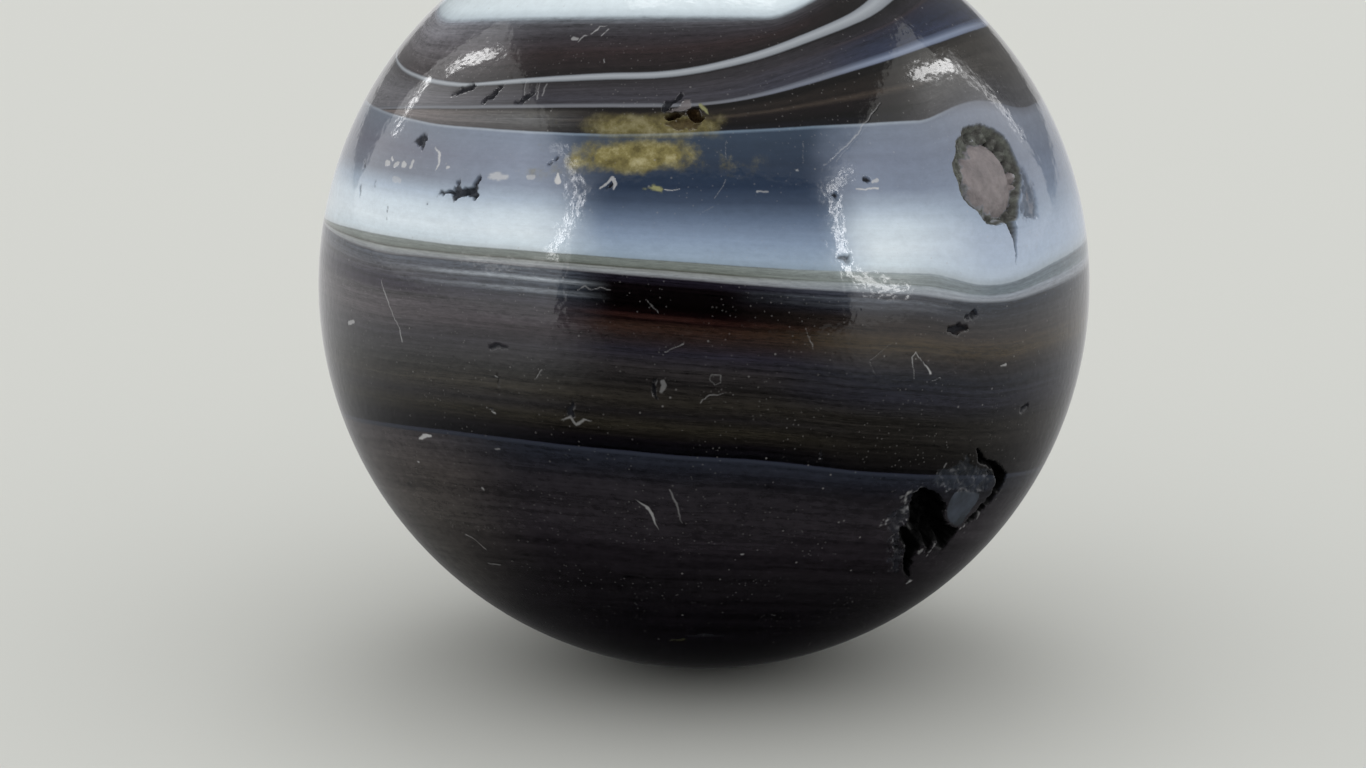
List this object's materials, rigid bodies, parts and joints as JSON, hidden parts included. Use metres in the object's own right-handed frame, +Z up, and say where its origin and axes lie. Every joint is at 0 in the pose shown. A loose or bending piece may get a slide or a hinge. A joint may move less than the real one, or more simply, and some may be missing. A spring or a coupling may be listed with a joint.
{
  "type": "banded agate marble",
  "caption": "Polished ball of banded agate, dark brown, white and blue-grey layers, with a natural open pocket and a chipped hollow; a loose ball to hold, show or roll.",
  "frame": {"origin": "centre of the ball", "axes": "+Z up, square to nothing in the stone but as the ball is shown, -Y towards the viewer, +X to the viewer's right; the pocket lies to the upper right of -Y and the chipped hollow to its lower right"},
  "size_m": [0.025, 0.025, 0.025],
  "materials": {
    "agate": "high polish; dark brown-black body with white, blue-grey and ochre layers; dull and rough inside the pocket and the chips"
  },
  "bodies": {
    "root": {"marble": "agate"}
  },
  "joints": []
}
